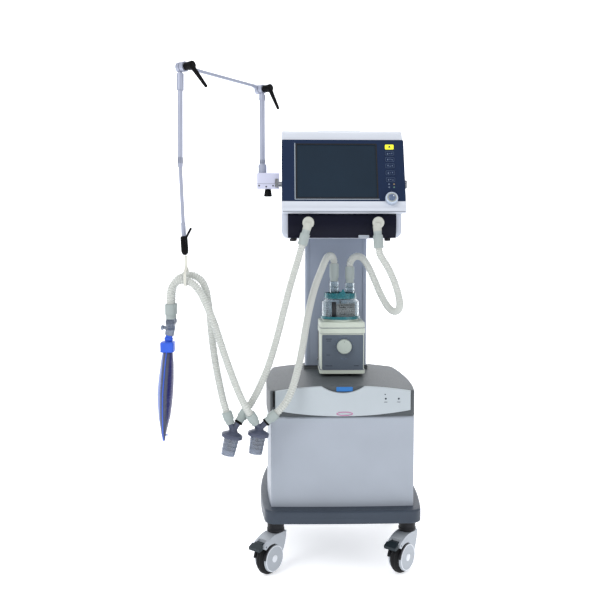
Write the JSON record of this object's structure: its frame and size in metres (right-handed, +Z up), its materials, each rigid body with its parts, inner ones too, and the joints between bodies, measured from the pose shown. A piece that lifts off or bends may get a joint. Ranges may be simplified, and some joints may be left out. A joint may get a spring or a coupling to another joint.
{
  "type": "mechanical ventilator",
  "caption": "Intensive-care ventilator on a caster trolley, with a tilted display, gas module, heated humidifier, water traps, test lung and a jointed hose-support arm.",
  "frame": {"origin": "on the floor, below the centre of the trolley", "axes": "+X to the viewer's right when facing the display, +Y to the back of the machine, +Z up; metres"},
  "size_m": [0.7788, 0.607, 1.481],
  "materials": {
    "base_grey": "satin dark grey moulding",
    "cabinet_grey": "satin light grey-blue",
    "cover_grey": "fine-grained dark grey",
    "fascia_white": "satin pale grey",
    "caster_hood": "satin pale grey",
    "tyre_black": "matt black tread on a pale disc",
    "pedal_grey": "matt dark grey",
    "socket_black": "matt black",
    "column_paint": "satin lavender grey",
    "module_shell_grey": "satin pale grey",
    "module_dark": "dark navy, faint sheen",
    "port_grey": "warm light grey",
    "casing_white": "satin cool white",
    "bezel_dark": "dark blue-grey",
    "screen_glass": "dark display glass",
    "key_yellow": "lit yellow key",
    "encoder_blue": "pale blue-grey",
    "rail_metal": "brushed",
    "humidifier_cream": "pale green-cream",
    "humidifier_panel_grey": "slate grey overlay",
    "dial_grey": "pale grey",
    "bracket_metal": "satin grey",
    "chamber_clear": "clear moulding",
    "collar_teal": "teal",
    "block_white": "pale lavender white",
    "knob_black": "matt black",
    "arm_tube": "anodised pale tube",
    "tip_lever_metal": "plated",
    "hose_white": "corrugated off-white",
    "cuff_grey": "soft grey cuff",
    "trap_head_slate": "slate grey",
    "trap_cup_smoke": "smoky translucent",
    "connector_clear": "clear moulding",
    "lung_block_blue": "matt blue",
    "lung_bag": "ribbed silicone, light and dark panels",
    "strap_white": "woven tape",
    "inner_metal": "cast",
    "inner_black": "matt",
    "board_green": "board",
    "inlet_brass": "machined"
  },
  "bodies": {
    "machine": {"base_chassis": "base_grey", "cabinet_shell": "cabinet_grey", "cabinet_front": "cabinet_grey", "top_cover": "cover_grey", "fascia_panel": "fascia_white", "caster_sockets": "socket_black", "column": "column_paint", "module_shell": "module_shell_grey", "module_front": "module_dark", "machine_ports": "port_grey", "display_housing": "casing_white", "display_frame": "casing_white", "display_bezel": "bezel_dark", "soft_keys": "bezel_dark", "display_screen": "screen_glass", "side_rails": "rail_metal", "humidifier_base": "humidifier_cream", "humidifier_panel": "humidifier_panel_grey", "humidifier_bracket": "bracket_metal", "chamber_body": "chamber_clear", "chamber_collars": "collar_teal", "clamp_block": "block_white", "hose_1": "hose_white", "hose_2": "hose_white", "hose_3": "hose_white", "hose_4": "hose_white", "hose_5": "hose_white", "hose_cuffs": "cuff_grey", "trap_heads": "trap_head_slate", "y_piece": "connector_clear", "lung_neck": "lung_block_blue", "test_lung": "lung_bag", "hanger_strap": "strap_white", "air_compressor": "inner_metal", "battery_pack": "inner_black", "main_board": "board_green", "gas_inlets": "inlet_brass"},
    "fork_front_left": {"fork_front_left": "caster_hood"},
    "wheel_front_left": {"wheel_front_left": "tyre_black"},
    "brake_pedal_front_left": {"brake_pedal_front_left": "pedal_grey"},
    "fork_front_right": {"fork_front_right": "caster_hood"},
    "wheel_front_right": {"wheel_front_right": "tyre_black"},
    "brake_pedal_front_right": {"brake_pedal_front_right": "pedal_grey"},
    "fork_back_left": {"fork_back_left": "caster_hood"},
    "wheel_back_left": {"wheel_back_left": "tyre_black"},
    "fork_back_right": {"fork_back_right": "caster_hood"},
    "wheel_back_right": {"wheel_back_right": "tyre_black"},
    "encoder": {"encoder_knob": "encoder_blue"},
    "alarm_key": {"alarm_key": "key_yellow"},
    "dial": {"humidifier_dial": "dial_grey"},
    "clamp_knob": {"clamp_knob": "knob_black"},
    "post": {"arm_post": "arm_tube"},
    "lever_right": {"arm_lever_right": "knob_black"},
    "rod": {"arm_rod": "arm_tube"},
    "lever_left": {"arm_lever_left": "knob_black"},
    "drop": {"arm_drop_tube": "arm_tube", "arm_tip": "arm_tube"},
    "tip_lever": {"arm_tip_lever": "tip_lever_metal"},
    "cup_left": {"trap_cup_left": "trap_cup_smoke"},
    "cup_right": {"trap_cup_right": "trap_cup_smoke"}
  },
  "joints": [
    {"name": "swivel_front_left", "type": "hinge", "parent": "machine", "child": "fork_front_left", "pos_m": [-0.198, -0.205, 0.122], "axis": [0, 0, 1], "continuous": true},
    {"name": "roll_front_left", "type": "hinge", "parent": "fork_front_left", "child": "wheel_front_left", "pos_m": [-0.21728, -0.22798, 0.05], "axis": [-0.766, 0.6428, 0], "continuous": true},
    {"name": "brake_front_left", "type": "hinge", "parent": "fork_front_left", "child": "brake_pedal_front_left", "pos_m": [-0.24171, -0.25709, 0.096], "axis": [-0.766, 0.6428, 0], "range_deg": [-15, 0]},
    {"name": "swivel_front_right", "type": "hinge", "parent": "machine", "child": "fork_front_right", "pos_m": [0.198, -0.205, 0.122], "axis": [0, 0, 1], "continuous": true},
    {"name": "roll_front_right", "type": "hinge", "parent": "fork_front_right", "child": "wheel_front_right", "pos_m": [0.17872, -0.22798, 0.05], "axis": [-0.766, 0.6428, 0], "continuous": true},
    {"name": "brake_front_right", "type": "hinge", "parent": "fork_front_right", "child": "brake_pedal_front_right", "pos_m": [0.15429, -0.25709, 0.096], "axis": [-0.766, 0.6428, 0], "range_deg": [-15, 0]},
    {"name": "swivel_back_left", "type": "hinge", "parent": "machine", "child": "fork_back_left", "pos_m": [-0.198, 0.185, 0.122], "axis": [0, 0, 1], "continuous": true},
    {"name": "roll_back_left", "type": "hinge", "parent": "fork_back_left", "child": "wheel_back_left", "pos_m": [-0.19023, 0.21398, 0.05], "axis": [0.9659, -0.2588, 0], "continuous": true},
    {"name": "swivel_back_right", "type": "hinge", "parent": "machine", "child": "fork_back_right", "pos_m": [0.198, 0.185, 0.122], "axis": [0, 0, 1], "continuous": true},
    {"name": "roll_back_right", "type": "hinge", "parent": "fork_back_right", "child": "wheel_back_right", "pos_m": [0.20577, 0.21398, 0.05], "axis": [0.9659, -0.2588, 0], "continuous": true},
    {"name": "encoder_turn", "type": "hinge", "parent": "machine", "child": "encoder", "pos_m": [0.15, -0.151, 1.11366], "axis": [0, -0.9455, 0.3256], "continuous": true},
    {"name": "alarm_press", "type": "slide", "parent": "machine", "child": "alarm_key", "axis": [0, 0.9455, -0.3256], "range_m": [0, 0.001], "stiffness_N_per_m": 600},
    {"name": "dial_turn", "type": "hinge", "parent": "machine", "child": "dial", "pos_m": [0.016, -0.08, 0.661], "axis": [0, 1, 0], "range_deg": [-135, 135]},
    {"name": "clamp_turn", "type": "hinge", "parent": "machine", "child": "clamp_knob", "pos_m": [-0.221, -0.04, 1.145], "axis": [0, 0, 1], "continuous": true},
    {"name": "post_swivel", "type": "hinge", "parent": "machine", "child": "post", "pos_m": [-0.238, -0.04, 1.18], "axis": [0, 0, 1], "range_deg": [-30, 45]},
    {"name": "lever_right_turn", "type": "hinge", "parent": "post", "child": "lever_right", "pos_m": [-0.238, -0.04, 1.458], "axis": [0.8, -0.6, 0], "range_deg": [0, 60]},
    {"name": "elbow_right", "type": "hinge", "parent": "post", "child": "rod", "pos_m": [-0.238, -0.04, 1.458], "axis": [-0.8, 0.6, 0], "range_deg": [0, 40]},
    {"name": "lever_left_turn", "type": "hinge", "parent": "rod", "child": "lever_left", "pos_m": [-0.4472, -0.2956, 1.467], "axis": [0.8, -0.6, 0], "range_deg": [0, 60]},
    {"name": "elbow_left", "type": "hinge", "parent": "rod", "child": "drop", "pos_m": [-0.4584, -0.2872, 1.467], "axis": [0.8, -0.6, 0], "range_deg": [-50, 35]},
    {"name": "tip_lever_turn", "type": "hinge", "parent": "drop", "child": "tip_lever", "pos_m": [-0.45206, -0.28931, 0.98403], "axis": [0, 1, 0], "range_deg": [-60, 30]},
    {"name": "cup_twist_left", "type": "hinge", "parent": "machine", "child": "cup_left", "pos_m": [-0.32195, -0.305, 0.43056], "axis": [0.225, 0, 0.9744], "range_deg": [-30, 30]},
    {"name": "cup_twist_right", "type": "hinge", "parent": "machine", "child": "cup_right", "pos_m": [-0.24694, -0.305, 0.43527], "axis": [0.1564, 0, 0.9877], "range_deg": [-30, 30]}
  ]
}
